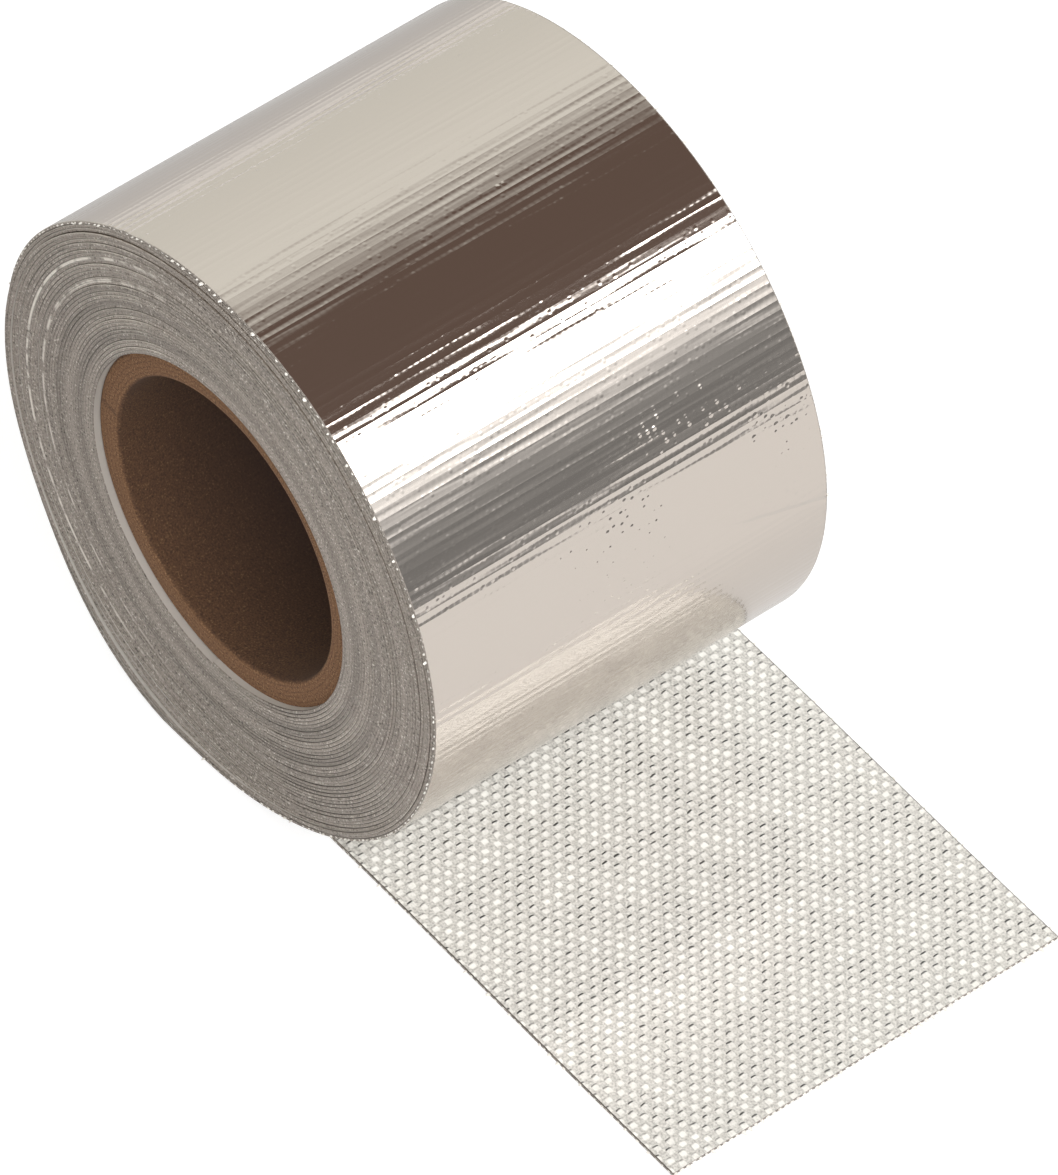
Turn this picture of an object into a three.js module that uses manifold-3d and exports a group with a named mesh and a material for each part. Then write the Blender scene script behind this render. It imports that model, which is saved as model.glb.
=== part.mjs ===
// Reflective heat tape: a roll of woven, foil-faced tape on a cardboard core, with a free tail.
// Millimetres, +Z up. The origin lies on the floor right under the roll's axis, midway along
// its width. The roll's axis runs along Y and the tail runs out along +X.
import * as THREE from "three";
import { mergeVertices } from "three/addons/utils/BufferGeometryUtils.js";
import Module from "manifold-3d";

const wasm = await Module();
wasm.setup();

// Tape
const TAPE_WIDTH = 38.1;
const TAPE_THICKNESS = 0.295;
const WOUND_TURNS = 38;
const TAIL_LENGTH = 53.3;
const TAIL_DRIFT = 2.5;

// Cardboard core
const CORE_BORE_RADIUS = 12.95;
const CORE_WALL = 2.15;
const CORE_RECESS = 1.4;
const CORE_CHAMFER = 0.4;

// Clearance between the innermost turn and the core
const CORE_GAP = 0.3;

// Bands of turns from the core outwards, each cut back this far from the roll's two ends.
// The outermost turns are left at full width as a rim.
const END_BAND_DEPTHS = [0.3, 0, 0.35, 0.15, 0.3];
const RIM_TURNS = 2;

// Facets around the roll and the core
const ROLL_FACETS = 96;
const CORE_FACETS = 64;

// How far a cutting solid runs past the faces that it cuts
const OVERCUT = 1;

// Corners closer together than this are one corner
const MERGE_DISTANCE = 1e-4;

const CORE_RADIUS = CORE_BORE_RADIUS + CORE_WALL;
const WOUND_INNER_RADIUS = CORE_RADIUS + CORE_GAP;
const ROLL_RADIUS = WOUND_INNER_RADIUS + WOUND_TURNS * TAPE_THICKNESS;
const AXIS_HEIGHT = ROLL_RADIUS;
const HALF_WIDTH = TAPE_WIDTH / 2;
const CORE_LENGTH = TAPE_WIDTH - 2 * CORE_RECESS;
const HALF_FACET_ANGLE = Math.PI / ROLL_FACETS;
const HALF_FACET = ROLL_RADIUS * Math.tan(HALF_FACET_ANGLE);

const foil = new THREE.MeshStandardMaterial({ color: 0xb9b2a8, roughness: 0.35, metalness: 0.85 });
const cardboard = new THREE.MeshStandardMaterial({ color: 0x7a5a3c, roughness: 0.95, metalness: 0 });

function toSolid(geometry) {
  const shared = geometry.clone();
  shared.deleteAttribute("normal");
  shared.deleteAttribute("uv");
  const merged = mergeVertices(shared, MERGE_DISTANCE);
  return new wasm.Manifold(new wasm.Mesh({
    numProp: 3,
    vertProperties: new Float32Array(merged.attributes.position.array),
    triVerts: new Uint32Array(merged.index.array),
  }));
}

function toGeometry(solid) {
  const mesh = solid.getMesh();
  const geometry = new THREE.BufferGeometry();
  geometry.setAttribute("position", new THREE.BufferAttribute(new Float32Array(mesh.vertProperties), 3));
  geometry.setIndex(new THREE.BufferAttribute(new Uint32Array(mesh.triVerts), 1));
  geometry.computeVertexNormals();
  return geometry;
}

// Extrudes an outline, drawn in X and Z, along Y from fromY over the given width.
function extrudeAlongY(shape, fromY, width) {
  const geometry = new THREE.ExtrudeGeometry(shape, { depth: width, bevelEnabled: false });
  geometry.rotateX(Math.PI / 2);
  geometry.translate(0, fromY + width, 0);
  return toSolid(geometry);
}

// Revolves a closed profile of [radius, y] points about the roll's axis.
function turnAboutAxis(points, facets) {
  const profile = [...points, points[0]].map(([radius, y]) => new THREE.Vector2(radius, y));
  const geometry = new THREE.LatheGeometry(profile, facets);
  geometry.translate(0, 0, AXIS_HEIGHT);
  return toSolid(geometry);
}

// The outermost turn's outline: a spiral that starts on the floor and climbs the -X side. It
// loses one thickness of tape on its way round, so that it comes back down onto the tail.
function rollOutline() {
  const outline = new THREE.Shape();
  outline.moveTo(HALF_FACET, 0);
  for (let corner = 0; corner < ROLL_FACETS; corner += 1) {
    const share = corner / (ROLL_FACETS - 1);
    const angle = (2 * corner + 1) * HALF_FACET_ANGLE;
    const radius = (ROLL_RADIUS - TAPE_THICKNESS * share) / Math.cos(HALF_FACET_ANGLE);
    outline.lineTo(-radius * Math.sin(angle), AXIS_HEIGHT - radius * Math.cos(angle));
  }
  outline.closePath();
  return outline;
}

function tailOutline() {
  const outline = new THREE.Shape();
  outline.moveTo(-HALF_FACET, 0);
  outline.lineTo(TAIL_LENGTH, 0);
  outline.lineTo(TAIL_LENGTH, TAPE_THICKNESS);
  outline.lineTo(-HALF_FACET, TAPE_THICKNESS);
  outline.closePath();
  return outline;
}

// The space over one band of turns, at the roll's end on the given side (1 or -1) along Y.
function spaceOverBand(innerRadius, outerRadius, depth, side) {
  const floorY = side * (HALF_WIDTH - depth);
  const openY = side * (HALF_WIDTH + OVERCUT);
  const points = [[innerRadius, floorY], [outerRadius, floorY], [outerRadius, openY], [innerRadius, openY]];
  return turnAboutAxis(side > 0 ? points : points.reverse(), ROLL_FACETS);
}

function cutEndBands(wound) {
  const firstRadius = WOUND_INNER_RADIUS;
  const lastRadius = ROLL_RADIUS - RIM_TURNS * TAPE_THICKNESS;
  const bandWidth = (lastRadius - firstRadius) / END_BAND_DEPTHS.length;
  let banded = wound;
  END_BAND_DEPTHS.forEach((depth, band) => {
    if (depth > 0) {
      const innerRadius = firstRadius + band * bandWidth - (band === 0 ? OVERCUT : 0);
      const outerRadius = firstRadius + (band + 1) * bandWidth;
      banded = banded.subtract(spaceOverBand(innerRadius, outerRadius, depth, 1));
      banded = banded.subtract(spaceOverBand(innerRadius, outerRadius, depth, -1));
    }
  });
  return banded;
}

function makeTape() {
  const wound = extrudeAlongY(rollOutline(), -HALF_WIDTH, TAPE_WIDTH);
  const tail = extrudeAlongY(tailOutline(), -HALF_WIDTH + TAIL_DRIFT, TAPE_WIDTH);
  const boreEnd = HALF_WIDTH + OVERCUT;
  const bore = turnAboutAxis([
    [0, -boreEnd],
    [WOUND_INNER_RADIUS, -boreEnd],
    [WOUND_INNER_RADIUS, boreEnd],
    [0, boreEnd],
  ], CORE_FACETS);
  const tape = cutEndBands(wound.subtract(bore)).add(tail);
  const mesh = new THREE.Mesh(toGeometry(tape), foil);
  mesh.name = "tape";
  return mesh;
}

// The core is a plain tube, a little shorter than the tape is wide, with broken edges.
function makeCore() {
  const end = CORE_LENGTH / 2;
  const chamfered = end - CORE_CHAMFER;
  const tube = turnAboutAxis([
    [CORE_BORE_RADIUS + CORE_CHAMFER, -end],
    [CORE_RADIUS - CORE_CHAMFER, -end],
    [CORE_RADIUS, -chamfered],
    [CORE_RADIUS, chamfered],
    [CORE_RADIUS - CORE_CHAMFER, end],
    [CORE_BORE_RADIUS + CORE_CHAMFER, end],
    [CORE_BORE_RADIUS, chamfered],
    [CORE_BORE_RADIUS, -chamfered],
  ], CORE_FACETS);
  const mesh = new THREE.Mesh(toGeometry(tube), cardboard);
  mesh.name = "cardboard_core";
  return mesh;
}

const heatTape = new THREE.Group();
heatTape.add(makeTape(), makeCore());

export default heatTape;
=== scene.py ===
# %% [markdown]
# # A roll of reflective heat tape
# This notebook dresses a small roll of heat tape: woven glass cloth with an aluminium foil face,
# wound on a cardboard core, with a short tail run out along the floor. The solids come first,
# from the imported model, and every new piece is placed from their sizes. The finishes and the
# light were judged beside the photograph.

# %% Load the solids
import math

import bpy
import numpy as np
from mathutils import Matrix, Vector


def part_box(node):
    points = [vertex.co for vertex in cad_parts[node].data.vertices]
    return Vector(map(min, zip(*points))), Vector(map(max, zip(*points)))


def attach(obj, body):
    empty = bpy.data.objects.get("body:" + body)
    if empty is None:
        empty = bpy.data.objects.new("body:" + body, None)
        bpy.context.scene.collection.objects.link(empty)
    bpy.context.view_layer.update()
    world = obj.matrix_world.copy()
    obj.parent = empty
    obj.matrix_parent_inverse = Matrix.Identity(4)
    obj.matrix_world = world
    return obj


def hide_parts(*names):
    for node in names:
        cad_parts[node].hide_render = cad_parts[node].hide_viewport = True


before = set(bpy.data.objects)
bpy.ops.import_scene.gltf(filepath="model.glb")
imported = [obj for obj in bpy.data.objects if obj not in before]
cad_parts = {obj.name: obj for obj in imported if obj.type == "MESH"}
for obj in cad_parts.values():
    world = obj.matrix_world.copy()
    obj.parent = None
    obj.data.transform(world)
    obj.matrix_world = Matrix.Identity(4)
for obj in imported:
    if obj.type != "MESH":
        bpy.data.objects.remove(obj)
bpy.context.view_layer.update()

# %% [markdown]
# ## Sizes
# The roll's axis runs along Y, over the origin, and the tail runs along +X. The core's box gives
# the axis height and the core's radius, and the tape's box gives the rest: its lowest Y is the
# plain end of the roll, its highest Y is the side to which the tail has drifted, and its highest
# X is the cut end. Only the tape's thickness, the core's wall and the yarn spacing can't be read
# from a box.

# %% Sizes from the solids
MM = 0.001
core_low, core_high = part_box("cardboard_core")
tape_low, tape_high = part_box("tape")
ROLL_RADIUS = (core_low.z + core_high.z) / 2
CORE_RADIUS = (core_high.x - core_low.x) / 2
CORE_HALF_LENGTH = (core_high.y - core_low.y) / 2
HALF_WIDTH = -tape_low.y
TAIL_DRIFT = tape_high.y - HALF_WIDTH
TAIL_LENGTH = tape_high.x

THICKNESS = 0.295 * MM
CORE_WALL = 2.15 * MM
BORE_RADIUS = CORE_RADIUS - CORE_WALL
YARN_ALONG = 0.745 * MM
YARN_ACROSS = 0.60 * MM
WOUND_TURNS = round((ROLL_RADIUS - CORE_RADIUS) / THICKNESS) - 1
MIDDLE_RADIUS = ROLL_RADIUS - THICKNESS / 2
TURN = 2 * math.pi
print("roll radius", round(ROLL_RADIUS / MM, 2), "mm, wound turns", WOUND_TURNS)

# %% [markdown]
# ## The camera
# The photograph was taken from above and to the right of the roll's near end, from far off with a
# long lens, because its parallel edges stay parallel. So the camera stands more than a metre
# away, 48.5 degrees round and 49.6 degrees up, and it is rolled by a few degrees. The figures
# come from a fit to the outline, the end face, the core and the tail.

# %% Camera
PHOTO_WIDTH, PHOTO_HEIGHT = 1058, 1175
FOCAL_PIXELS = 16205
SENSOR = 36
CLIP_NEAR, CLIP_FAR = 0.01, 50
CAMERA_DISTANCE = 1259 * MM
CAMERA_TARGET = Vector((1.43, 11.46, 0)) * MM
azimuth, elevation, camera_roll = (math.radians(degrees) for degrees in (48.51, 49.59, 3.35))

back = Vector((
    math.sin(azimuth) * math.cos(elevation),
    -math.cos(azimuth) * math.cos(elevation),
    math.sin(elevation),
))
level_right = Vector((math.cos(azimuth), math.sin(azimuth), 0))
level_up = back.cross(level_right)
right = level_right * math.cos(camera_roll) + level_up * math.sin(camera_roll)
up = level_up * math.cos(camera_roll) - level_right * math.sin(camera_roll)

camera_data = bpy.data.cameras.new("camera")
camera_data.sensor_width = SENSOR
camera_data.lens = SENSOR * FOCAL_PIXELS / max(PHOTO_WIDTH, PHOTO_HEIGHT)
camera_data.clip_start = CLIP_NEAR
camera_data.clip_end = CLIP_FAR
camera = bpy.data.objects.new("camera", camera_data)
camera.matrix_world = Matrix.Translation(CAMERA_TARGET + back * CAMERA_DISTANCE) @ Matrix(
    (right, up, back)).transposed().to_4x4()
bpy.context.scene.collection.objects.link(camera)
bpy.context.scene.camera = camera
bpy.context.scene.view_settings.view_transform = "Standard"
print("lens", round(camera_data.lens), "mm")

# %% [markdown]
# ## The studio
# Foil shows its surroundings more than itself. A band at an angle round the roll mirrors one
# direction in the room, so the places of the bands tell where the surfaces of the studio stand: a
# pale floor, a cream wall behind the roll, a dark warm ceiling, one long softbox high in front,
# and a grey wall below it. Each is plain, in one or two round tones, and blends into the next.
# The room is the same all along the roll's axis, so the world's colour depends on one angle only,
# measured round Y from +X over +Z. The camera itself sees plain white where the floor ends.

# %% Colour and node helpers
def linear(hex_colour):
    """An sRGB hex colour, such as "d0c8c0", as linear red, green, blue and alpha."""
    channels = [int(hex_colour[i:i + 2], 16) / 255 for i in (0, 2, 4)]
    return [c / 12.92 if c <= 0.04045 else ((c + 0.055) / 1.055) ** 2.4 for c in channels] + [1.0]


def add(tree, kind, inputs=None, **settings):
    """Adds a shader node. settings are its properties. inputs maps sockets to plain values, to
    output sockets, or to nodes, whose first output is then used."""
    node = tree.nodes.new("ShaderNode" + kind)
    for name, value in settings.items():
        setattr(node, name, value)
    for socket, value in (inputs or {}).items():
        if isinstance(value, bpy.types.Node):
            value = value.outputs[0]
        if isinstance(value, bpy.types.NodeSocket):
            tree.links.new(value, node.inputs[socket])
        else:
            node.inputs[socket].default_value = value
    return node


def set_stops(ramp_node, stops):
    """Gives a colour ramp its stops: (place, linear colour) from 0 to 1."""
    elements = ramp_node.color_ramp.elements
    while len(elements) < len(stops):
        elements.new(0.5)
    for element, (place, colour) in zip(elements, stops):
        element.position = place
        element.color = colour


# %% The room as the foil mirrors it
SOFTBOX = 8.0
SOFTBOX_GLOW = (1.6, 1.6, 1.6)
PALE_FLOOR = (0.9, 0.9, 0.9)
GREY_WALL = (0.4, 0.4, 0.4)
GREY_WALL_FOOT = (0.25, 0.25, 0.25)
DARK_CEILING = (0.17, 0.12, 0.10)
CREAM_WALL = (1.0, 1.0, 0.95)
CREAM_WALL_FOOT = (0.85, 0.85, 0.80)
room_stops = [
    (-180, CREAM_WALL_FOOT), (-1, PALE_FLOOR),
    (1, GREY_WALL), (10, GREY_WALL_FOOT), (26, GREY_WALL),
    (42, SOFTBOX_GLOW), (47, (SOFTBOX,) * 3), (59, (SOFTBOX,) * 3),
    (63, DARK_CEILING), (103, DARK_CEILING),
    (128, CREAM_WALL), (180, CREAM_WALL_FOOT),
]
world = bpy.data.worlds.new("studio_room")
world.use_nodes = True
room = world.node_tree
room.nodes.clear()
direction = add(room, "TexCoord").outputs["Generated"]
axes = add(room, "SeparateXYZ", {0: direction}).outputs
angle = add(room, "Math", {0: axes["Z"], 1: axes["X"]}, operation="ARCTAN2")
share = add(room, "MapRange", {"Value": angle, "From Min": -math.pi, "From Max": math.pi})
bands = add(room, "ValToRGB", {"Fac": share})
set_stops(bands, [
    ((degrees + 180) / 360, [c / SOFTBOX for c in colour] + [1]) for degrees, colour in room_stops])
lit = add(room, "Background", {"Color": bands, "Strength": SOFTBOX})
plain = add(room, "Background", {"Color": (1, 1, 1, 1), "Strength": 1.0})
seen = add(room, "LightPath").outputs["Is Camera Ray"]
add(room, "OutputWorld", {"Surface": add(room, "MixShader", {0: seen, 1: lit, 2: plain})})
bpy.context.scene.world = world
print("room stops:", len(room_stops))

# %% [markdown]
# ## The floor
# A plain pale sheet, matt, and large enough that the foil never mirrors its edge. For the rays
# that the foil mirrors, its colour carries a painted shadow of the roll: greyer behind the roll
# than in front. The photograph was cut out on white, so for the camera the sheet is mostly its own
# glow, nearly without shadows.

# %% Floor
def new_material(name):
    """A material with a Principled shader, and its node tree and shader."""
    material = bpy.data.materials.new(name)
    material.use_nodes = True
    tree = material.node_tree
    return material, tree, tree.nodes["Principled BSDF"]


def mesh_object(name, points, faces, materials):
    """Puts arrays of points and faces into a new smooth object at the origin."""
    mesh = bpy.data.meshes.new(name)
    mesh.from_pydata(np.asarray(points).reshape(-1, 3).tolist(), [], [list(face) for face in faces])
    mesh.update()
    mesh.polygons.foreach_set("use_smooth", np.full(len(mesh.polygons), True))
    for material in materials:
        mesh.materials.append(material)
    thing = bpy.data.objects.new(name, mesh)
    bpy.context.scene.collection.objects.link(thing)
    return thing


FLOOR_HALF = 3.0
PAINTED_SHADOW_START, PAINTED_SHADOW_END = -0.5, 0.1
FLOOR_PAINTED_SHADOW_GREYS = [(0.0, 0.7), (0.68, 0.45), (0.80, 0.5), (0.93, 0.75)]
CAMERA_GLOW = 1.16
CAMERA_GLOW_SHARE = 0.7
floor_paint, tree, floor_shader = new_material("matt_white_floor")
floor_x = add(tree, "SeparateXYZ", {0: add(tree, "TexCoord").outputs["Object"]}).outputs["X"]
floor_place = add(tree, "MapRange", {
    "Value": floor_x, "From Min": PAINTED_SHADOW_START, "From Max": PAINTED_SHADOW_END,
})
# Painted shadow: for the rays that the foil mirrors, the floor is darkened behind the roll, where
# the roll shades it from the softbox, and painted shade leaves it a little greyer further out on
# that side.
floor_painted_shadow = add(tree, "ValToRGB", {"Fac": floor_place})
set_stops(floor_painted_shadow, [(place, [grey] * 3 + [1]) for place, grey in FLOOR_PAINTED_SHADOW_GREYS])
tree.links.new(floor_painted_shadow.outputs[0], floor_shader.inputs["Base Color"])
floor_shader.inputs["Roughness"].default_value = 0.9
floor_shader.inputs["Specular IOR Level"].default_value = 0.0
white_paper = add(tree, "BsdfDiffuse", {"Color": linear("f6f6f5")})
white_glow = add(tree, "Emission", {"Color": (1, 1, 1, 1), "Strength": CAMERA_GLOW})
cut_out = add(tree, "MixShader", {0: CAMERA_GLOW_SHARE, 1: white_paper, 2: white_glow})
floor_seen = add(tree, "LightPath").outputs["Is Camera Ray"]
floor_mix = add(tree, "MixShader", {0: floor_seen, 1: floor_shader, 2: cut_out})
tree.links.new(floor_mix.outputs[0], tree.nodes["Material Output"].inputs["Surface"])
floor = mesh_object("floor", [
    (-FLOOR_HALF, -FLOOR_HALF, 0), (FLOOR_HALF, -FLOOR_HALF, 0),
    (FLOOR_HALF, FLOOR_HALF, 0), (-FLOOR_HALF, FLOOR_HALF, 0),
], [(0, 1, 2, 3)], [floor_paint])

# %% [markdown]
# ## The path of the tape
# The real roll is one long strip, so here it is one too. Going back from the cut end, the strip's
# middle line runs straight along the floor to the point under the axis, and then winds up
# clockwise: over -X, over the top and down again. Its radius loses one thickness of tape in each
# turn. The last few turns were wound loosely, so they bow out a little at the lower left, where
# the tail pulls on them, but they never sink below the layers that lie flat on the floor. Places
# and spreads are angles in radians, wound back from the point under the axis.

# %% Path functions
LOOSE_BOW = 0.9 * MM
LOOSE_PLACE = 0.42
LOOSE_SPREAD = 0.60
LOOSE_TURNS = 5
FLAT_REACH = 1.3
DRIFT_TURN = 0.42 * TURN
BOTTOM_SLIP = 0.7 * MM
SLIP_PLACE = 0.25
SLIP_SPREAD = 0.95
SLIP_TURNS = 9
SLIP_ONSET_TURN = 0.9
SLIP_ONSET_POWER = 8
random = np.random.default_rng(11)


def cosine_bump(distance, spread):
    """1 at no distance, falling smoothly to 0 at the spread."""
    return np.cos(np.clip(distance / spread, 0, 1) * math.pi / 2) ** 2


def spiral_radius(angle):
    """Radius of the strip's middle line, at an angle wound back from the floor under the axis.

    It is the outer radius less a thickness for each turn, plus a cosine bump for the loose turns,
    and it is cut off where a layer would sink below its own place on the floor."""
    tight = MIDDLE_RADIUS - THICKNESS * angle / TURN
    within = np.mod(angle, TURN)
    bump = cosine_bump(np.abs(within - LOOSE_PLACE), LOOSE_SPREAD)
    looseness = np.clip(1 - angle / (LOOSE_TURNS * TURN), 0, 1)
    flat = tight / np.cos(np.minimum(within, FLAT_REACH))
    return np.minimum(tight + LOOSE_BOW * bump * looseness, flat)


def spiral_point(angle):
    """X, Z and the outward direction (X, Z) of the middle line at a wound angle."""
    radius = spiral_radius(angle)
    x = -radius * np.sin(angle)
    z = ROLL_RADIUS - radius * np.cos(angle)
    return x, z, -np.sin(angle), -np.cos(angle)


def drift(angle):
    """How far the strip has moved towards +Y: fully at the floor, fading out up the last turn."""
    return TAIL_DRIFT * np.clip(1 - np.maximum(angle, 0) / DRIFT_TURN, 0, 1) ** 2


def bottom_slip(angle):
    """How far the outer turns have slipped towards -Y at the bottom: a cosine bump in each turn."""
    from_bottom = np.abs(np.mod(angle - SLIP_PLACE + math.pi, TURN) - math.pi)
    bottom = cosine_bump(from_bottom, SLIP_SPREAD)
    covered = np.clip(angle / TURN / SLIP_ONSET_TURN, 0, 1) ** SLIP_ONSET_POWER
    return -BOTTOM_SLIP * bottom * covered * np.clip(1 - angle / (SLIP_TURNS * TURN), 0, 1)


def smooth_noise(places, spacing, amplitude):
    """Random values at even spacing, joined by cosine steps, read at the places given."""
    count = int(np.max(places) / spacing) + 3
    values = random.uniform(-amplitude, amplitude, count)
    index = np.floor(places / spacing).astype(int)
    step = (1 - np.cos(math.pi * (places / spacing - index))) / 2
    return values[index] * (1 - step) + values[index + 1] * step


inner_end = float(spiral_radius(np.array(WOUND_TURNS * TURN)))
print("spiral ends at radius", round(inner_end / MM, 2), "mm")

# %% [markdown]
# ## Making a strip
# Each stretch of tape is a closed tube of points. Its cross-section is drawn once, as places
# across the width with half a thickness at each, and is carried along the path. The outer side
# runs from the near edge to the far edge and the inner side runs back, so two caps made like
# ladders close the ends. Every point also keeps its place on the cloth in millimetres, as a UV
# map, and its place through the thickness, as an attribute, because the weave and the cut edges
# are drawn from these.

# %% Strip maker
FOIL_SIDE, CLOTH_SIDE, CUT_SIDE = 0, 1, 2


def strip_piece(name, x, z, out_x, out_z, shift, back_mm, across, half, relief_out, relief_in,
                edge_columns, materials):
    """A closed strip: middle line + thickness * outward direction + (place across + shift) * Y.

    x, z, out_x, out_z, shift and back_mm have one value for each row along the path. across and
    half have one for each column. relief_out and relief_in are added to the two sides' heights."""
    columns = len(across)
    height = np.concatenate([half + relief_out, (-half + relief_in)[:, ::-1]], axis=1)
    side = np.concatenate([across, across[::-1]])
    points = np.stack([
        x[:, None] + out_x[:, None] * height,
        side[None, :] + shift[:, None],
        z[:, None] + out_z[:, None] * height,
    ], axis=-1)
    rows, loop = height.shape
    row = np.arange(rows - 1)[:, None]
    column = np.arange(loop)[None, :]
    following = (column + 1) % loop
    quads = np.stack([
        row * loop + column, row * loop + following,
        (row + 1) * loop + following, (row + 1) * loop + column,
    ], axis=-1).reshape(-1, 4)
    rung = np.arange(columns - 1)
    ladder = np.stack([rung, loop - 1 - rung, loop - 2 - rung, rung + 1], axis=-1)
    caps = np.concatenate([ladder, ladder[:, ::-1] + (rows - 1) * loop])
    faces = np.concatenate([quads, caps])

    thing = mesh_object(name, points, faces, materials)
    mesh = thing.data
    kinds = np.full(loop, CUT_SIDE)
    kinds[edge_columns:columns - 1 - edge_columns] = FOIL_SIDE
    kinds[columns + edge_columns:loop - 1 - edge_columns] = CLOTH_SIDE
    quad_kinds = np.broadcast_to(kinds, (rows - 1, loop)).ravel()
    face_kinds = np.concatenate([quad_kinds, np.full(len(caps), CUT_SIDE)]).astype(np.int32)
    mesh.polygons.foreach_set("material_index", face_kinds)
    cloth = np.stack([np.broadcast_to(back_mm[:, None], height.shape),
                      np.broadcast_to(side[None, :] / MM, height.shape)], axis=-1).reshape(-1, 2)
    corners = np.empty(len(mesh.loops), np.int32)
    mesh.loops.foreach_get("vertex_index", corners)
    cloth_map = mesh.uv_layers.new(name="cloth_mm")
    cloth_map.data.foreach_set("uv", cloth[corners].astype(np.float32).ravel())
    ply = mesh.attributes.new("ply", "FLOAT", "POINT")
    through = np.concatenate([half, -half[::-1]]) / THICKNESS + 0.5
    ply.data.foreach_set("value", np.broadcast_to(through, height.shape).astype(np.float32).ravel())
    mesh.set_sharp_from_angle(angle=math.radians(40))
    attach(thing, "root")
    print(name, len(mesh.polygons), "faces")
    return thing


def edged_columns(inner):
    """Places across the tape, from one rounded edge to the other, and half thicknesses there."""
    in_from_edge = np.array([0.0, 0.02, 0.08]) * MM
    share = np.array([0.36, 0.45, 0.47])
    across = np.concatenate([-HALF_WIDTH + in_from_edge, inner, (HALF_WIDTH - in_from_edge)[::-1]])
    half = THICKNESS * np.concatenate([share, np.full(len(inner), share[-1]), share[::-1]])
    return across, half


EDGE_COLUMNS = 2

# %% [markdown]
# ## The finishes of the tape
# The foil is thin aluminium, dulled by a clear coat that warms its grey. It was pressed onto the
# cloth, so each yarn that runs across the tape shows through as a fine rib, a little higher at
# each crossing. The ribs are far too low to be seen by themselves, but they break the edges of
# every reflection into lines. Small dimples lie in a few patches, where the roll was handled,
# with one wrinkle below them. All of it is drawn in the cloth's own millimetres, from the cut end
# of the tail.

# %% Foil relief
LOW_RIB, HIGH_RIB = 0.005, 0.024
STREAK_HEIGHT = 0.009
DENT_HEIGHT = 0.05
RIB_PATCHES, STREAKS, BROAD_DENTS = (0.75, 0.07, 1), (1.1, 0.045, 1), (0.22, 0.12, 1)
foil, tree, foil_shader = new_material("coated_aluminium_foil")
cloth = add(tree, "UVMap", uv_map="cloth_mm")
along, across = add(tree, "SeparateXYZ", {0: cloth}).outputs[:2]
weft_phase = add(tree, "Math", {0: along, 1: math.pi * MM / YARN_ALONG}, operation="MULTIPLY")
warp_phase = add(tree, "Math", {0: across, 1: math.pi * MM / YARN_ACROSS}, operation="MULTIPLY")
weft_rib = add(tree, "Math", {
    0: add(tree, "Math", {0: weft_phase}, operation="SINE"),
}, operation="ABSOLUTE")
crossing = add(tree, "Math", {
    0: add(tree, "Math", {0: warp_phase}, operation="SINE"),
}, operation="ABSOLUTE")
crossing_share = add(tree, "MapRange", {"Value": crossing, "To Min": 0.75, "To Max": 1.0})
rib_shape = add(tree, "Math", {0: weft_rib, 1: crossing_share}, operation="MULTIPLY")
stretched = [
    add(tree, "VectorMath", {0: cloth, 1: stretch}, operation="MULTIPLY")
    for stretch in (RIB_PATCHES, STREAKS, BROAD_DENTS)]
rib_patches, streaks, broad_dents = (
    add(tree, "TexNoise", {"Vector": vector, "Scale": 1.0}) for vector in stretched)
rib_height = add(tree, "MapRange", {
    "Value": rib_patches, "From Min": 0.38, "From Max": 0.72, "To Min": LOW_RIB, "To Max": HIGH_RIB,
}, interpolation_type="SMOOTHSTEP")
ribs = add(tree, "Math", {0: rib_shape, 1: rib_height}, operation="MULTIPLY")
foil_height = add(tree, "Math", {0: streaks, 1: STREAK_HEIGHT, 2: ribs}, operation="MULTIPLY_ADD")
foil_height = add(tree, "Math", {
    0: broad_dents, 1: DENT_HEIGHT, 2: foil_height,
}, operation="MULTIPLY_ADD")

# %% Dimples and the wrinkle
MM_PER_DEGREE = MIDDLE_RADIUS / MM * math.pi / 180
PIT_DEPTH = 0.045
PITS_EVERYWHERE = 0.16
WRINKLE_HEIGHT = 0.09


def cloth_at(front_angle):
    """Millimetres from the cut end, at an angle in degrees from +X up round the last turn."""
    return TAIL_LENGTH / MM + (270 - front_angle) * MM_PER_DEGREE


dimple_patches = [
    (34.5, 8.0, 2.2, 6.0), (18.0, -0.5, 4.5, 7.5), (19.0, 15.5, 7.0, 3.5), (84.5, 4.8, 1.0, 0.5)]
handled = PITS_EVERYWHERE
for front_angle, middle, half_along, half_across in dimple_patches:
    offset = add(tree, "VectorMath", {
        0: cloth, 1: (cloth_at(front_angle), middle, 0),
    }, operation="SUBTRACT")
    scaled = add(tree, "VectorMath", {
        0: offset, 1: (half_along, half_across, 1),
    }, operation="DIVIDE")
    reach = add(tree, "VectorMath", {0: scaled}, operation="LENGTH").outputs["Value"]
    patch = add(tree, "MapRange", {
        "Value": reach, "From Min": 1.2, "From Max": 0.5}, interpolation_type="SMOOTHSTEP")
    handled = add(tree, "Math", {0: handled, 1: patch}, operation="MAXIMUM")
cells = add(tree, "TexVoronoi", {
    "Vector": cloth, "Scale": 1.4, "Randomness": 0.5,
}).outputs["Distance"]
pits = add(tree, "MapRange", {
    "Value": cells, "From Min": 0.0, "From Max": 0.36, "To Min": -PIT_DEPTH, "To Max": 0.0,
}, interpolation_type="SMOOTHSTEP")
foil_height = add(tree, "Math", {0: pits, 1: handled, 2: foil_height}, operation="MULTIPLY_ADD")

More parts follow.
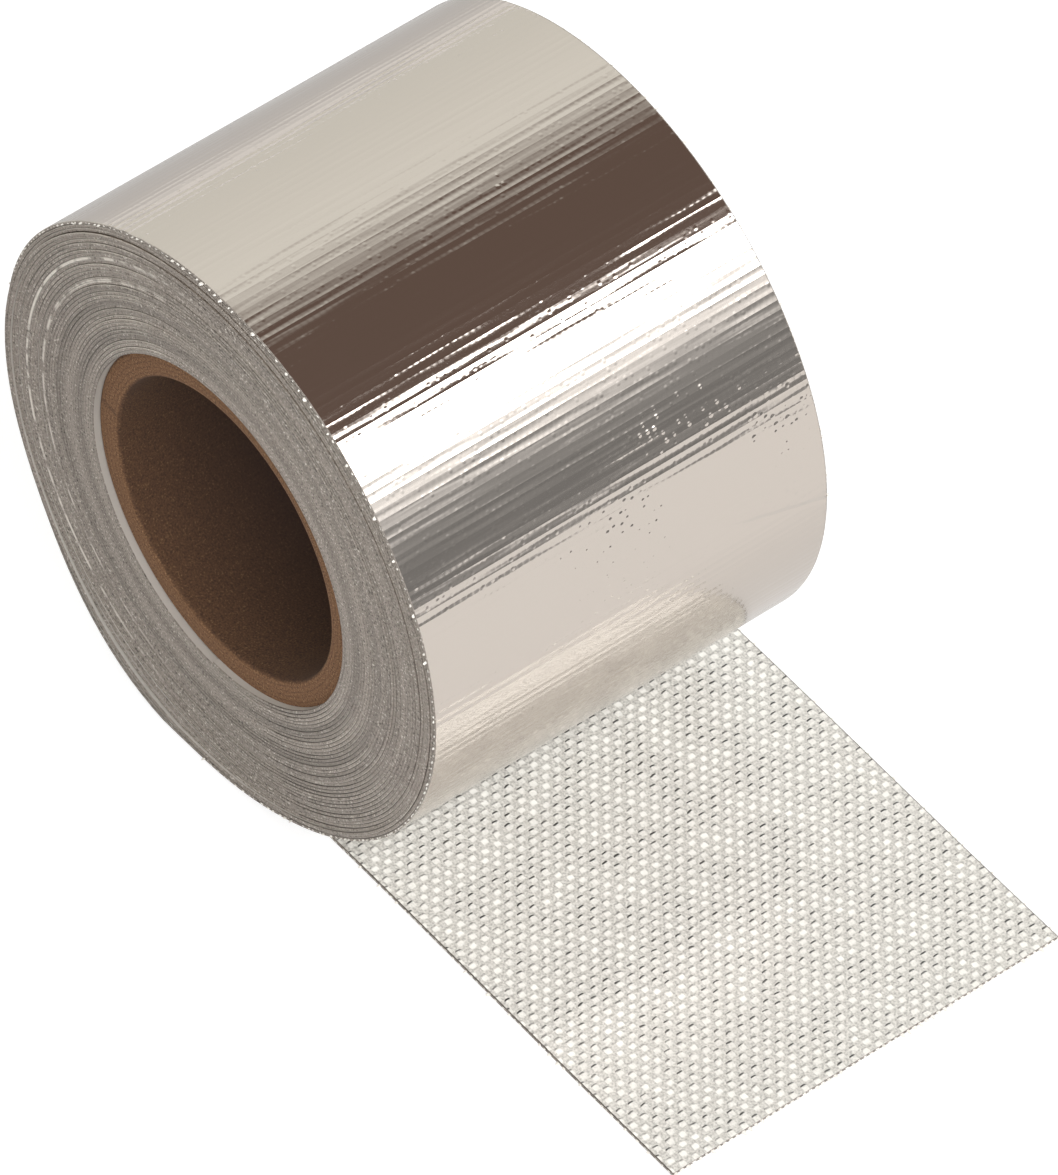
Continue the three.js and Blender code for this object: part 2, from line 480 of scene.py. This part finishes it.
WRINKLE_START, WRINKLE_SLOPE = (cloth_at(9), 11.5), 0.30
wrinkle_along = add(tree, "Math", {
    0: across, 1: -WRINKLE_SLOPE, 2: along,
}, operation="MULTIPLY_ADD")
wrinkle_place = WRINKLE_START[0] - WRINKLE_SLOPE * WRINKLE_START[1]
wrinkle_offset = add(tree, "Math", {0: wrinkle_along, 1: wrinkle_place}, operation="SUBTRACT")
from_wrinkle = add(tree, "Math", {0: wrinkle_offset}, operation="ABSOLUTE")
wrinkle_ridge = add(tree, "MapRange", {
    "Value": from_wrinkle, "From Min": 0.42, "From Max": 0.0, "To Max": WRINKLE_HEIGHT,
}, interpolation_type="SMOOTHSTEP")
wrinkle_reach = add(tree, "MapRange", {
    "Value": across, "From Min": 8.0, "From Max": 13.0}, interpolation_type="SMOOTHSTEP")
foil_height = add(tree, "Math", {
    0: wrinkle_ridge, 1: wrinkle_reach, 2: foil_height,
}, operation="MULTIPLY_ADD")

# %% Foil finish
foil_bump = add(tree, "Bump", {"Height": foil_height, "Strength": 1.0, "Distance": MM})
tree.links.new(foil_bump.outputs[0], foil_shader.inputs["Normal"])
foil_shader.inputs["Base Color"].default_value = linear("d0c8c0")
foil_shader.inputs["Metallic"].default_value = 1.0
foil_shader.inputs["Roughness"].default_value = 0.09

# %% [markdown]
# The other side of the tape is the glass cloth itself, under a clear sticky coat. It is a plain
# weave: each yarn passes over one and under the next. Floats along the tape stand highest and
# look almost white: white glass, with a painted highlight on their crowns. Those across it are
# greyer. A short dark slit opens at the end of each bright float, where the yarn dives under: a
# dark gap, with painted shade on the side of the float away from the light. The weave was never
# quite even, so each slit comes and goes in patches.

# %% Glass cloth finish
YARN_WANDER = (0.30, 0.22, 0)
SLIT_LAG = 0.35
SLIT_CUT = 0.05
PILLOW_HEIGHT = 0.06
glass, tree, glass_shader = new_material("coated_glass_cloth")
weave_uv = add(tree, "UVMap", uv_map="cloth_mm")
uneven = add(tree, "TexNoise", {"Vector": weave_uv, "Scale": 0.9, "Detail": 1.0}).outputs["Color"]
pushed = add(tree, "VectorMath", {0: uneven, 1: YARN_WANDER, 2: weave_uv}, operation="MULTIPLY_ADD")
along, across = add(tree, "SeparateXYZ", {0: pushed}).outputs[:2]
weft_phase = add(tree, "Math", {0: along, 1: math.pi * MM / YARN_ALONG}, operation="MULTIPLY")
warp_phase = add(tree, "Math", {0: across, 1: math.pi * MM / YARN_ACROSS}, operation="MULTIPLY")
weft_wave = add(tree, "Math", {0: weft_phase}, operation="SINE")
warp_wave = add(tree, "Math", {0: warp_phase}, operation="SINE")
checker = add(tree, "Math", {0: weft_wave, 1: warp_wave}, operation="MULTIPLY")
slack = add(tree, "TexNoise", {"Vector": weave_uv, "Scale": 0.32, "Detail": 3.0})
from_weft_edge = add(tree, "Math", {0: weft_wave}, operation="ABSOLUTE")
on_top = add(tree, "MapRange", {
    "Value": checker, "From Min": 0.0, "From Max": 0.40,
}, interpolation_type="SMOOTHSTEP")
crown = add(tree, "MapRange", {
    "Value": from_weft_edge, "From Min": 0.20, "From Max": 0.95,
}, interpolation_type="SMOOTHSTEP")
# Painted highlight: the crowns of the floats along the tape are mixed towards near-white, partly
# the glass's own white and partly painted light.
float_crown_highlight = add(tree, "Math", {0: on_top, 1: crown}, operation="MULTIPLY")
float_patches = add(tree, "MapRange", {
    "Value": slack, "From Min": 0.34, "From Max": 0.62, "To Min": 0.95, "To Max": 0.45,
})
painted_float_highlight = add(tree, "Math", {0: float_crown_highlight, 1: float_patches}, operation="MULTIPLY")
# The slit lags behind each float, on the side away from the light, where painted shade falls.
behind_phase = add(tree, "Math", {0: weft_phase, 1: SLIT_LAG}, operation="SUBTRACT")
behind_wave = add(tree, "Math", {0: behind_phase}, operation="SINE")
behind_float = add(tree, "Math", {0: behind_wave, 1: warp_wave}, operation="MULTIPLY")
slit_place = add(tree, "MapRange", {
    "Value": behind_float, "From Min": 0.05, "From Max": 0.16,
}, interpolation_type="SMOOTHSTEP")
slit_line = add(tree, "MapRange", {
    "Value": from_weft_edge, "From Min": 0.55, "From Max": 0.25}, interpolation_type="SMOOTHSTEP")
slit_depth = add(tree, "MapRange", {
    "Value": slack, "From Min": 0.36, "From Max": 0.62, "To Min": 0.15, "To Max": 1.0,
}, interpolation_type="SMOOTHSTEP")
slit_shape = add(tree, "Math", {0: slit_line, 1: slit_place}, operation="MULTIPLY")
slit_gaps_and_painted_shade = add(tree, "Math", {0: slit_shape, 1: slit_depth}, operation="MULTIPLY")
fibres = add(tree, "TexNoise", {"Vector": weave_uv, "Scale": 5.0, "Detail": 2.0})
shadowed = add(tree, "ValToRGB", {"Fac": fibres})
set_stops(shadowed, [(0.3, linear("9c9b96")), (0.5, linear("c3c1bb")), (0.72, linear("dfddd7"))])
# The near-white f1f0ea on the float crowns is partly the white glass and partly a painted
# highlight.
yarn_colour = add(tree, "Mix", {
    0: painted_float_highlight, 6: shadowed.outputs[0], 7: linear("f1f0ea")}, data_type="RGBA").outputs[2]
# Painted shade: the slits are mixed towards near-black 2b2a28, partly the dark gap itself and
# partly shade on the float's side away from the light.
cloth_colour = add(tree, "Mix", {
    0: slit_gaps_and_painted_shade, 6: yarn_colour, 7: linear("2b2a28")}, data_type="RGBA").outputs[2]
pillow_height = add(tree, "MapRange", {
    "Value": checker, "From Min": -1.0, "From Max": 1.0, "To Min": 0.0, "To Max": PILLOW_HEIGHT})
slit_cut = add(tree, "Math", {0: slit_gaps_and_painted_shade, 1: -SLIT_CUT, 2: pillow_height}, operation="MULTIPLY_ADD")
glass_bump = add(tree, "Bump", {"Height": slit_cut, "Strength": 1.0, "Distance": MM})
tree.links.new(glass_bump.outputs[0], glass_shader.inputs["Normal"])
tree.links.new(cloth_colour, glass_shader.inputs["Base Color"])
glass_shader.inputs["Roughness"].default_value = 0.4
glass_shader.inputs["Coat Weight"].default_value = 1.0
glass_shader.inputs["Coat Roughness"].default_value = 0.22
glass_shader.inputs["Coat IOR"].default_value = 1.65

# %% [markdown]
# The cut edge shows the tape through its thickness: grey yarn ends, with a bright line of foil on
# the outside and a dark line of adhesive on the inside. Cutting smeared most of the lines away,
# so the ends of the roll look like one flat, speckled grey, and the turns can be told apart only
# towards the upper back and the lower front.

# %% Cut edge finish
SHARP_ANGLE = math.radians(138)
PROUD_RADII = (23.4 * MM, 21.5 * MM)
RING_OUTER, RING_INNER = 0.20 * MM, 0.06 * MM
cut, tree, cut_shader = new_material("cut_glass_cloth_edge")
ply = add(tree, "Attribute", attribute_name="ply").outputs["Fac"]
place = add(tree, "TexCoord").outputs["Object"]
speckle = add(tree, "TexNoise", {"Vector": place, "Scale": 5200.0, "Detail": 3.0})
dust = add(tree, "TexNoise", {"Vector": place, "Scale": 1500.0, "Detail": 1.0})
grain = add(tree, "ValToRGB", {"Fac": speckle})
set_stops(grain, [
    (0.32, linear("49433d")), (0.40, linear("7f776f")),
    (0.61, linear("928a82")), (0.73, linear("d5cfc6"))])
from_axis = add(tree, "VectorMath", {0: place, 1: (0, 0, ROLL_RADIUS)}, operation="SUBTRACT")
flat_offset = add(tree, "VectorMath", {0: from_axis, 1: (1, 0, 1)}, operation="MULTIPLY")
outward = add(tree, "VectorMath", {0: flat_offset}, operation="NORMALIZE")
sharp_direction = (math.cos(SHARP_ANGLE), 0, math.sin(SHARP_ANGLE))
towards_sharp = add(tree, "VectorMath", {
    0: outward, 1: sharp_direction,
}, operation="DOT_PRODUCT").outputs["Value"]
sharp_side = add(tree, "Math", {0: towards_sharp}, operation="ABSOLUTE")
broken = add(tree, "TexNoise", {"Vector": place, "Scale": 700.0, "Detail": 3.0})
sharpness = add(tree, "Math", {0: broken, 1: 0.35, 2: sharp_side}, operation="MULTIPLY_ADD")
lines_shown = add(tree, "MapRange", {
    "Value": sharpness, "From Min": 1.02, "From Max": 1.16, "To Min": 0.03, "To Max": 1.0,
}, interpolation_type="SMOOTHSTEP")
foil_line = add(tree, "MapRange", {"Value": ply, "From Min": 0.78, "From Max": 0.95})
glue_line = add(tree, "MapRange", {"Value": ply, "From Min": 0.22, "From Max": 0.06})
shown_foil = add(tree, "Math", {0: foil_line, 1: lines_shown}, operation="MULTIPLY")
shown_glue = add(tree, "Math", {0: glue_line, 1: lines_shown}, operation="MULTIPLY")
with_glue = add(tree, "Mix", {
    0: shown_glue, 6: grain.outputs[0], 7: linear("4a443e")}, data_type="RGBA").outputs[2]
with_foil = add(tree, "Mix", {
    0: shown_foil, 6: with_glue, 7: linear("c4beb4")}, data_type="RGBA").outputs[2]
ring_radius = add(tree, "VectorMath", {0: flat_offset}, operation="LENGTH").outputs["Value"]
ring_tone = add(tree, "TexNoise", {
    "W": ring_radius, "Scale": 850.0, "Detail": 2.0,
}, noise_dimensions="1D")
ring_shade = add(tree, "MapRange", {
    "Value": ring_tone, "From Min": 0.30, "From Max": 0.70, "To Min": 0.82, "To Max": 1.12})
toned = add(tree, "Mix", {
    0: 1.0, 6: with_foil, 7: ring_shade,
}, data_type="RGBA", blend_type="MULTIPLY").outputs[2]
proud_rings = 0.0
for proud_radius in PROUD_RADII:
    ring_offset = add(tree, "Math", {0: ring_radius, 1: proud_radius}, operation="SUBTRACT")
    from_ring = add(tree, "Math", {0: ring_offset}, operation="ABSOLUTE")
    on_ring = add(tree, "MapRange", {
        "Value": from_ring, "From Min": RING_OUTER, "From Max": RING_INNER,
    })
    proud_rings = add(tree, "Math", {0: proud_rings, 1: on_ring}, operation="MAXIMUM")
outward_x = add(tree, "SeparateXYZ", {0: outward}).outputs["X"]
back_side = add(tree, "MapRange", {"Value": outward_x, "From Min": -0.1, "From Max": -0.6})
ring_dots = add(tree, "MapRange", {
    "Value": broken, "From Min": 0.42, "From Max": 0.55, "To Max": 0.75,
})
shown_rings = add(tree, "Math", {0: proud_rings, 1: back_side}, operation="MULTIPLY")
shown_rings = add(tree, "Math", {0: shown_rings, 1: ring_dots}, operation="MULTIPLY")
with_rings = add(tree, "Mix", {
    0: shown_rings, 6: toned, 7: linear("ddd7ce")}, data_type="RGBA").outputs[2]
tree.links.new(with_rings, cut_shader.inputs["Base Color"])
cut_bump = add(tree, "Bump", {"Height": dust, "Strength": 0.6, "Distance": 0.05 * MM})
tree.links.new(cut_bump.outputs[0], cut_shader.inputs["Normal"])
cut_shader.inputs["Roughness"].default_value = 0.6

# %% [markdown]
# The innermost turn faces the core, and its cloth side is stretched smooth, so it has no weave to
# see.

# %% Bore lining finish
lining, _, lining_shader = new_material("smooth_grey_lining")
lining_shader.inputs["Base Color"].default_value = linear("b2ada6")
lining_shader.inputs["Roughness"].default_value = 0.6
TAPE_FINISHES = [foil, glass, cut]

# %% [markdown]
# ## The wound turns
# All the turns under the last one show only their edges, at the two ends of the roll. So they get
# a rounded edge and one face across, but they really do wind: 120 steps a turn, in one piece. The
# winder's hand shows as well, because each turn sits a little to one side of the next, and a few
# stand proud as bright rings.

# %% Wound turns
STEPS_PER_TURN = 120
COVERED_TURNS = 1.03
OUTER_ANGLE = COVERED_TURNS * TURN
WANDER = 0.07 * MM
BROAD_WANDER_TURNS, FINE_WANDER_TURNS = 3.1, 0.5
WANDER_ONSET = 0.2
SHARP_FROM, SHARP_RANGE = 0.82, 0.18
PROUD_TURNS = ((3.2, 0.22 * MM), (6.4, 0.16 * MM), (14.5, 0.12 * MM))
PROUD_SPREAD = 0.55
wound_steps = (WOUND_TURNS - 1) * STEPS_PER_TURN
wound_angle = np.linspace(OUTER_ANGLE, WOUND_TURNS * TURN, wound_steps + 1)
x, z, out_x, out_z = spiral_point(wound_angle)
turn_number = wound_angle / TURN
near_sharp = np.abs(np.cos(1.5 * math.pi - wound_angle - SHARP_ANGLE))
sharp_part = np.clip((near_sharp - SHARP_FROM) / SHARP_RANGE, 0, 1)
wander = smooth_noise(turn_number, BROAD_WANDER_TURNS, WANDER)
wander += smooth_noise(turn_number, FINE_WANDER_TURNS, WANDER) * sharp_part
for proud_turn, rise in PROUD_TURNS:
    wander -= rise * np.exp(-((turn_number - proud_turn) / PROUD_SPREAD) ** 2)
wander *= np.clip((turn_number - COVERED_TURNS) / WANDER_ONSET, 0, 1)
wander += bottom_slip(wound_angle)
across, half = edged_columns(np.array([]))
no_relief = np.zeros((len(wound_angle), len(across)))
back_mm = (TAIL_LENGTH + wound_angle * (MIDDLE_RADIUS + spiral_radius(wound_angle)) / 2) / MM
wound = strip_piece("wound_turns", x, z, out_x, out_z, wander, back_mm, across, half,
                    no_relief, no_relief, EDGE_COLUMNS, [foil, lining, cut])

# %% [markdown]
# ## The last turn
# The last turn is the skin that everyone sees, so it has a fine grid. It follows the path from
# under the roll, up and round to where it covers itself. It carries the broad, shallow dents of a
# hand-wound roll, as the sum of two long waves.

# %% Last turn
HIDDEN_START = 8.0 * MM
ROW_STEP = 0.45 * MM
ACROSS_COLUMNS = 66
SKIN_DENT = 0.008 * MM
DENT_WAVES = ((1.0, 5.0, 7.0 * MM, 0.0), (0.7, 11.0, -4.6 * MM, 1.3))
DENT_FADE = 0.3


def tail_rows(first_x, last_x, count):
    """The path along the floor from one X to another: middle line and outward direction."""
    x = np.linspace(first_x, last_x, count)
    return x, np.full(count, THICKNESS / 2), np.zeros(count), -np.ones(count)


floor_rows = tail_rows(HIDDEN_START, 0.0, int(HIDDEN_START / ROW_STEP) + 1)
turn_angle = np.linspace(0, OUTER_ANGLE, int(OUTER_ANGLE * MIDDLE_RADIUS / ROW_STEP))[1:]
turn_rows = spiral_point(turn_angle)
x, z, out_x, out_z = (np.concatenate(pair) for pair in zip(floor_rows, turn_rows))
row_angle = np.concatenate([np.zeros(len(floor_rows[0])), turn_angle])
back_mm = np.concatenate([
    TAIL_LENGTH - floor_rows[0], TAIL_LENGTH + turn_angle * MIDDLE_RADIUS]) / MM
across, half = edged_columns(np.linspace(-HALF_WIDTH, HALF_WIDTH, ACROSS_COLUMNS)[1:-1])
dents = SKIN_DENT * sum(
    size * np.sin(row_angle[:, None] * waves + across[None, :] / length + phase)
    for size, waves, length, phase in DENT_WAVES)
fade_in = np.clip(row_angle, 0, 1)[:, None]
fade_out = np.clip(OUTER_ANGLE - row_angle, 0, DENT_FADE)[:, None]
dents *= fade_in * fade_out / DENT_FADE
sideways = drift(row_angle) + bottom_slip(row_angle)
last_turn = strip_piece("last_turn", x, z, out_x, out_z, sideways, back_mm, across, half,
                        dents, dents, EDGE_COLUMNS, TAPE_FINISHES)

# %% [markdown]
# ## The tail
# The tail lies with the cloth side up. Its relief is modelled: a plain weave is close to the
# product of two sine waves, one half wave for each yarn, and the two signs are the two kinds of
# float. The strip lies almost flat: it has a low ripple, and a trace of curl at its far corner.

# %% Tail
SAMPLES_PER_YARN = 3
COLUMN_STEP = YARN_ACROSS / SAMPLES_PER_YARN
INNER_START, INNER_STOP = 0.2 * MM, 0.1 * MM
PILLOW_DEPTH = 0.035 * MM
RIPPLE_HEIGHT = 0.05 * MM
RIPPLE_LENGTH = 6.5 * MM
RIPPLE_ONSET = 8 * MM
CURL_HEIGHT = 0.06 * MM
CURL_START, CURL_LENGTH = 0.78, 0.22
CORNER_START, CORNER_WIDTH = 0.2, 0.8


def tail_lift(x, across):
    """Height of the tail off the floor: a low ripple and a trace of curl at the far corner."""
    end_curl = np.clip((x - CURL_START * TAIL_LENGTH) / (CURL_LENGTH * TAIL_LENGTH), 0, 1)
    corner_curl = np.clip((across / HALF_WIDTH - CORNER_START) / CORNER_WIDTH, 0, 1)
    onset = np.clip((x - HIDDEN_START) / RIPPLE_ONSET, 0, 1)
    ripple = RIPPLE_HEIGHT * (1 - np.cos(x / RIPPLE_LENGTH)) * onset
    return ripple + CURL_HEIGHT * end_curl ** 2 * corner_curl ** 2


tail_count = int((TAIL_LENGTH - HIDDEN_START) / YARN_ALONG * SAMPLES_PER_YARN) + 1
x, z, out_x, out_z = tail_rows(TAIL_LENGTH, HIDDEN_START, tail_count)
across, half = edged_columns(
    np.arange(-HALF_WIDTH + INNER_START, HALF_WIDTH - INNER_STOP, COLUMN_STEP))
back = TAIL_LENGTH - x
weft_rows = np.sin(math.pi * back / YARN_ALONG)
warp_columns = np.sin(math.pi * across / YARN_ACROSS)
weave = weft_rows[:, None] * warp_columns[None, :]
pillows = -PILLOW_DEPTH * np.abs(weave)
lift = tail_lift(x[:, None], across[None, :])
sideways = np.full(tail_count, TAIL_DRIFT)
tail = strip_piece("tail", x, z, out_x, out_z, sideways, back / MM, across, half,
                   -lift, -lift + pillows, EDGE_COLUMNS, TAPE_FINISHES)
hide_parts("tape")
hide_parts("tape")
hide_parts("tape")

# %% [markdown]
# ## Cut yarn ends
# Slitting the tape leaves the ends of its yarns along every cut: those across the tape stick out
# of both edges, one for each rib, and those along it stick out of the tail's end. They are tufts
# of bare glass, whiter than anything else here, so they sparkle along the edges. Each is a short
# flattened stub, tapered to its tip, and no two are quite as long. Their ranges are in
# millimetres.

# %% Bare glass finish
bare_glass, _, bare_shader = new_material("bare_glass_yarn")
bare_shader.inputs["Base Color"].default_value = linear("e6e3dc")
bare_shader.inputs["Roughness"].default_value = 0.45

# %% Cut yarn ends
STUB_SIDES = 6
STUB_REACH = np.array([-0.3, 0.5, 1.0])
STUB_TAPER = np.array([1.0, 0.9, 0.4])
EDGE_SHIFT = 0.2
EDGE_WIDE, EDGE_THICK, EDGE_LONGEST = (0.09, 0.21), (0.04, 0.09), 0.32
END_WIDE, END_THICK, END_LONG = (0.14, 0.22), (0.07, 0.11), (0.05, 0.45)


def stub_points(centre, axis, wide, thick, length):
    """Rings of each stub: centre + axis * reach * length + an ellipse of wide and thick * taper."""
    angle = np.arange(STUB_SIDES) * TURN / STUB_SIDES
    ring = (np.cos(angle)[:, None] * wide[:, None, None, :]
            + np.sin(angle)[:, None] * thick[:, None, None, :])
    reach = STUB_REACH[None, :] * length[:, None]
    spine = centre[:, None, :] + axis[:, None, :] * reach[:, :, None]
    return spine[:, :, None, :] + ring * STUB_TAPER[None, :, None, None]


def edge_stubs(side):
    """Stubs along one long edge (side -1 or 1), from the cut end to the end of the last turn."""
    back = np.arange(0.5, (TAIL_LENGTH + TURN * MIDDLE_RADIUS) / YARN_ALONG) * YARN_ALONG
    back += random.uniform(-EDGE_SHIFT, EDGE_SHIFT, len(back)) * MM
    on_floor = back < TAIL_LENGTH
    wound_angle = np.maximum(back - TAIL_LENGTH, 0) / MIDDLE_RADIUS
    x, z, out_x, out_z = spiral_point(wound_angle)
    floor_x = TAIL_LENGTH - back
    x = np.where(on_floor, floor_x, x)
    z = np.where(on_floor, THICKNESS / 2 + tail_lift(floor_x, side * HALF_WIDTH), z)
    count = len(back)
    y = side * HALF_WIDTH + drift(wound_angle) + bottom_slip(wound_angle)
    centre = np.stack([x, y, z], axis=-1)
    axis = np.broadcast_to((0.0, float(side), 0.0), (count, 3))
    out = np.stack([out_x, np.zeros(count), out_z], axis=-1)
    wide = np.cross(out, axis) * random.uniform(*EDGE_WIDE, count)[:, None] * MM
    thick = out * random.uniform(*EDGE_THICK, count)[:, None] * MM
    length = random.uniform(0.0, 1.0, count) ** 3 * EDGE_LONGEST * MM
    return stub_points(centre, axis, wide, thick, length)


def end_stubs():
    """Stubs along the tail's cut end."""
    across = np.arange(-HALF_WIDTH / YARN_ACROSS + 0.5, HALF_WIDTH / YARN_ACROSS) * YARN_ACROSS
    count = len(across)
    z = THICKNESS / 2 + tail_lift(TAIL_LENGTH, across)
    centre = np.stack([np.full(count, TAIL_LENGTH), across + TAIL_DRIFT, z], axis=-1)
    wide = np.array([[0.0, 1.0, 0.0]]) * random.uniform(*END_WIDE, count)[:, None] * MM
    thick = np.array([[0.0, 0.0, 1.0]]) * random.uniform(*END_THICK, count)[:, None] * MM
    axis = np.broadcast_to((1.0, 0.0, 0.0), (count, 3))
    return stub_points(centre, axis, wide, thick, random.uniform(*END_LONG, count) * MM)


stubs = np.concatenate([edge_stubs(-1), edge_stubs(1), end_stubs()])
first = (np.arange(len(stubs)) * len(STUB_REACH) * STUB_SIDES)[:, None, None]
ring = (np.arange(len(STUB_REACH) - 1) * STUB_SIDES)[None, :, None]
spot = np.arange(STUB_SIDES)[None, None, :]
next_spot = (spot + 1) % STUB_SIDES
walls = np.stack([
    first + ring + spot, first + ring + next_spot,
    first + ring + STUB_SIDES + next_spot, first + ring + STUB_SIDES + spot,
], axis=-1).reshape(-1, 4)
tips = (first + (len(STUB_REACH) - 1) * STUB_SIDES + spot).reshape(-1, STUB_SIDES)
roots = (first + spot[:, :, ::-1]).reshape(-1, STUB_SIDES)
stub_faces = walls.tolist() + tips.tolist() + roots.tolist()
yarn_ends = mesh_object("cut_yarn_ends", stubs, stub_faces, [bare_glass])
yarn_ends.data.set_sharp_from_angle(angle=math.radians(70))
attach(yarn_ends, "root")
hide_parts("tape")
print("yarn ends", len(stubs), "of", len(yarn_ends.data.polygons), "faces")

# %% [markdown]
# ## The cardboard core
# The core is a tube of brown paper wound in a spiral and glued. Its ends were sawn, so they are
# rough, with the plies showing as rings, and its corners are worn. It sits a little inside the
# roll. Beside the photograph the solid core looked too deep inside, so the tube is 0.8 mm longer
# at each end. It also nearly fills the clearance that the solids have round the core.

# %% Cardboard finish
PAPER = 0.43 * MM
SEAM_PITCH = 38 * MM
card, tree, card_shader = new_material("spiral_wound_cardboard")
place = add(tree, "TexCoord").outputs["Object"]
fibre = add(tree, "TexNoise", {"Vector": place, "Scale": 6500.0, "Detail": 4.0})
from_axis = add(tree, "VectorMath", {0: place, 1: (0, 0, ROLL_RADIUS)}, operation="SUBTRACT")
card_axes = add(tree, "SeparateXYZ", {0: from_axis}).outputs
flat_offset = add(tree, "VectorMath", {0: from_axis, 1: (1, 0, 1)}, operation="MULTIPLY")
card_radius = add(tree, "VectorMath", {0: flat_offset}, operation="LENGTH").outputs["Value"]
card_colour = add(tree, "ValToRGB", {"Fac": fibre})
set_stops(card_colour, [
    (0.3, linear("3f291a")), (0.47, linear("6a4b31")),
    (0.6, linear("785639")), (0.74, linear("ab8761"))])
ply_phase = add(tree, "Math", {0: card_radius, 1: TURN / PAPER}, operation="MULTIPLY")
ply_wave = add(tree, "Math", {0: ply_phase}, operation="SINE")
ply_shade = add(tree, "MapRange", {
    "Value": ply_wave, "From Min": 0.3, "From Max": 1.0, "To Max": 0.25,
})
card_angle = add(tree, "Math", {0: card_axes["Z"], 1: card_axes["X"]}, operation="ARCTAN2")
seam_turn = add(tree, "Math", {0: card_angle, 1: TURN}, operation="DIVIDE")
seam_place = add(tree, "Math", {
    0: card_axes["Y"], 1: 1 / SEAM_PITCH, 2: seam_turn,
}, operation="MULTIPLY_ADD")
from_seam = add(tree, "Math", {0: seam_place, 1: 0.5}, operation="PINGPONG")
seam = add(tree, "MapRange", {
    "Value": from_seam, "From Min": 0.005, "From Max": 0.001, "To Max": 0.4,
}, interpolation_type="SMOOTHSTEP")
# Painted shade: the bore's wall is darkened, and more so towards the middle of the tube, where less
# light reaches.
bore_painted_shade_mask = add(tree, "MapRange", {
    "Value": card_radius, "To Max": 0.66,
    "From Min": BORE_RADIUS + 0.30 * MM, "From Max": BORE_RADIUS + 0.05 * MM,
}, interpolation_type="SMOOTHSTEP")
dark_parts = add(tree, "Math", {0: ply_shade, 1: seam}, operation="MAXIMUM")
from_middle = add(tree, "Math", {0: card_axes["Y"]}, operation="ABSOLUTE")
painted_depth_shade = add(tree, "MapRange", {
    "Value": from_middle, "To Min": 0.80, "To Max": 1.50,
    "From Min": CORE_HALF_LENGTH, "From Max": 0.25 * CORE_HALF_LENGTH})
bore_painted_shade = add(tree, "Math", {0: bore_painted_shade_mask, 1: painted_depth_shade}, operation="MULTIPLY")
dark_parts = add(tree, "Math", {0: dark_parts, 1: bore_painted_shade}, operation="MAXIMUM")
# The near-black brown 29160d is the colour of the ply rings and the glued seam, which are the
# paper's own, and of the painted shade inside the bore.
shaded_card = add(tree, "Mix", {
    0: dark_parts, 6: card_colour.outputs[0], 7: linear("29160d")}, data_type="RGBA").outputs[2]
tree.links.new(shaded_card, card_shader.inputs["Base Color"])
card_bump = add(tree, "Bump", {"Height": fibre, "Strength": 0.7, "Distance": 0.05 * MM})
tree.links.new(card_bump.outputs[0], card_shader.inputs["Normal"])
card_shader.inputs["Roughness"].default_value = 0.92

# %% Core tube
def turned_ring(name, radius, along, segments, materials):
    """A closed profile of radius and Y, turned about the roll's axis into a ring."""
    angle = np.linspace(0, TURN, segments, endpoint=False)[:, None]
    points = np.stack([
        radius * np.cos(angle), np.broadcast_to(along, (segments, len(radius))),
        ROLL_RADIUS + radius * np.sin(angle),
    ], axis=-1)
    row = np.arange(segments)[:, None]
    column = np.arange(len(radius))[None, :]
    following_row = (row + 1) % segments
    following = (column + 1) % len(radius)
    faces = np.stack([
        row * len(radius) + column, following_row * len(radius) + column,
        following_row * len(radius) + following, row * len(radius) + following,
    ], axis=-1).reshape(-1, 4)
    return mesh_object(name, points, faces, materials)


CORNER = 0.35 * MM
CORNER_STEPS = 5
CLEARANCE_FILL = 0.25 * MM
TUBE_SEGMENTS = 160
END_PROUD = 0.8 * MM
half_length = CORE_HALF_LENGTH + END_PROUD
corner_angle = np.linspace(0, math.pi / 2, CORNER_STEPS)
outer_radius = CORE_RADIUS + CLEARANCE_FILL
corner_out = CORNER * np.sin(corner_angle)
corner_along = CORNER * np.cos(corner_angle)
radius = np.concatenate([
    outer_radius - CORNER + corner_out, (outer_radius - CORNER + corner_out)[::-1],
    BORE_RADIUS + CORNER - corner_out, (BORE_RADIUS + CORNER - corner_out)[::-1],
])
along = np.concatenate([
    -half_length + CORNER - corner_along, (half_length - CORNER + corner_along)[::-1],
    half_length - CORNER + corner_along, (-half_length + CORNER - corner_along)[::-1],
])
core_tube = turned_ring("core_tube", radius, along, TUBE_SEGMENTS, [card])
core_tube.data.set_sharp_from_angle(angle=math.radians(50))
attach(core_tube, "root")
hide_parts("cardboard_core")
print("core tube", len(core_tube.data.polygons), "faces")
